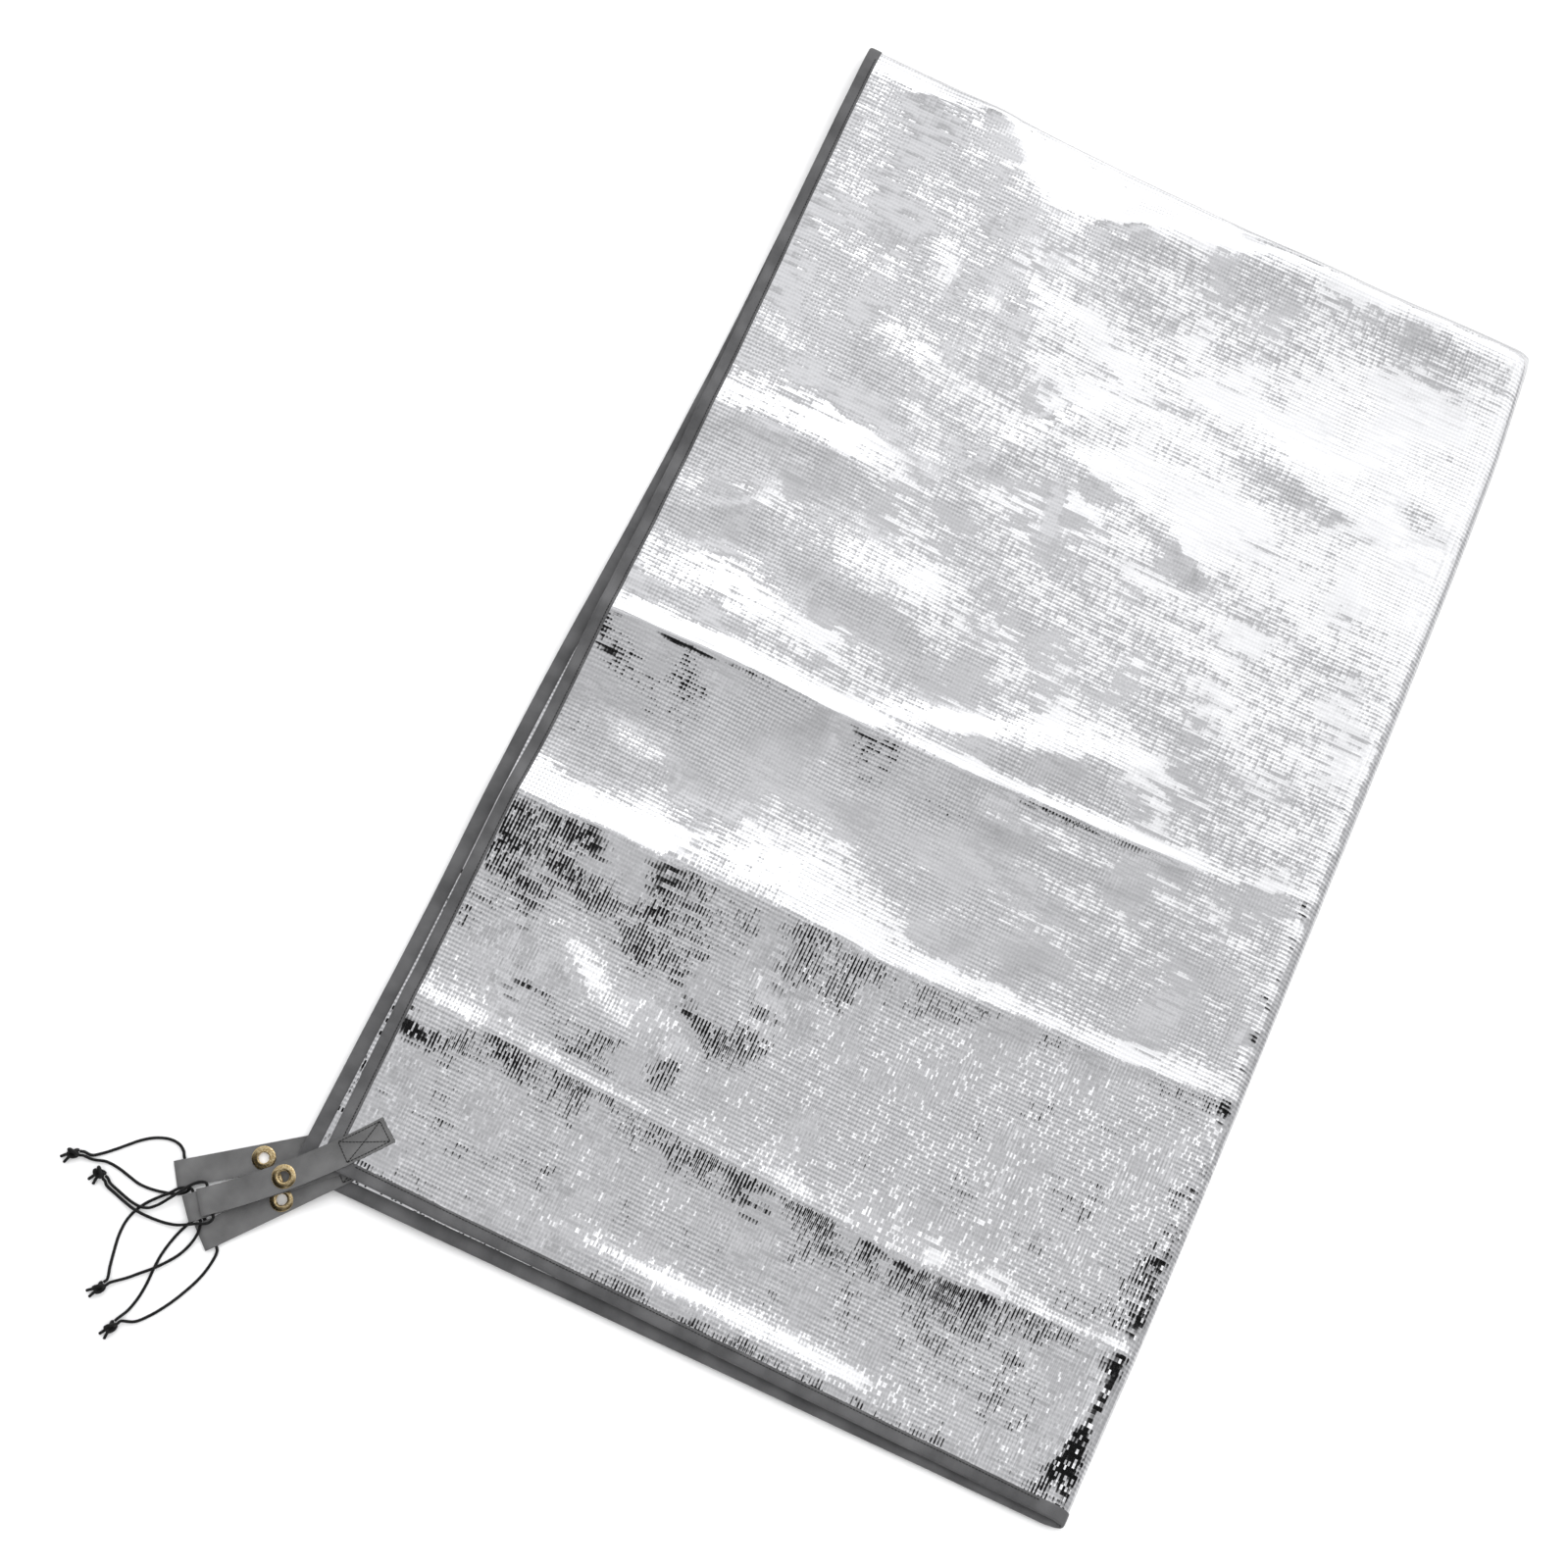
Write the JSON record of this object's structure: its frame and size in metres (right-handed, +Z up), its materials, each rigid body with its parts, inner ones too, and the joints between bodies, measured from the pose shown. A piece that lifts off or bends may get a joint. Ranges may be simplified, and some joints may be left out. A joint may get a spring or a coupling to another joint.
{
  "type": "foil camping mat",
  "caption": "Aluminised woven ground mat folded in quarters, bound with grey tape, with webbing corner tabs, brass eyelets and knotted elastic cords for pegging it down.",
  "frame": {"origin": "middle of the folded mat, on its underside where it rests", "axes": "+X from the open long edges to the side fold, +Y from the open short edges to the end fold, +Z up"},
  "size_m": [0.7839, 1.1764, 0.0217],
  "materials": {
    "foil": "bright metallised film over a plain weave",
    "binding_tape": "woven polyester tape, sewn",
    "webbing": "flat woven polyester webbing, sewn",
    "brass": "polished, lightly worn",
    "elastic": "braided cover over a rubber core"
  },
  "bodies": {
    "root": {"foil_sheet": "foil", "long_binding_upper": "binding_tape", "long_binding_lower": "binding_tape", "short_binding_outer": "binding_tape", "short_binding_inner": "binding_tape", "corner_tab_1": "webbing", "eyelet_1": "brass", "elastic_cord_1": "elastic", "cord_knot_1": "elastic", "corner_tab_2": "webbing", "eyelet_2": "brass", "elastic_cord_2": "elastic", "cord_knot_2": "elastic", "corner_tab_3": "webbing", "eyelet_3": "brass", "elastic_cord_3": "elastic", "cord_knot_3": "elastic", "corner_tab_4": "webbing", "eyelet_4": "brass", "elastic_cord_4": "elastic", "cord_knot_4": "elastic"}
  },
  "joints": []
}
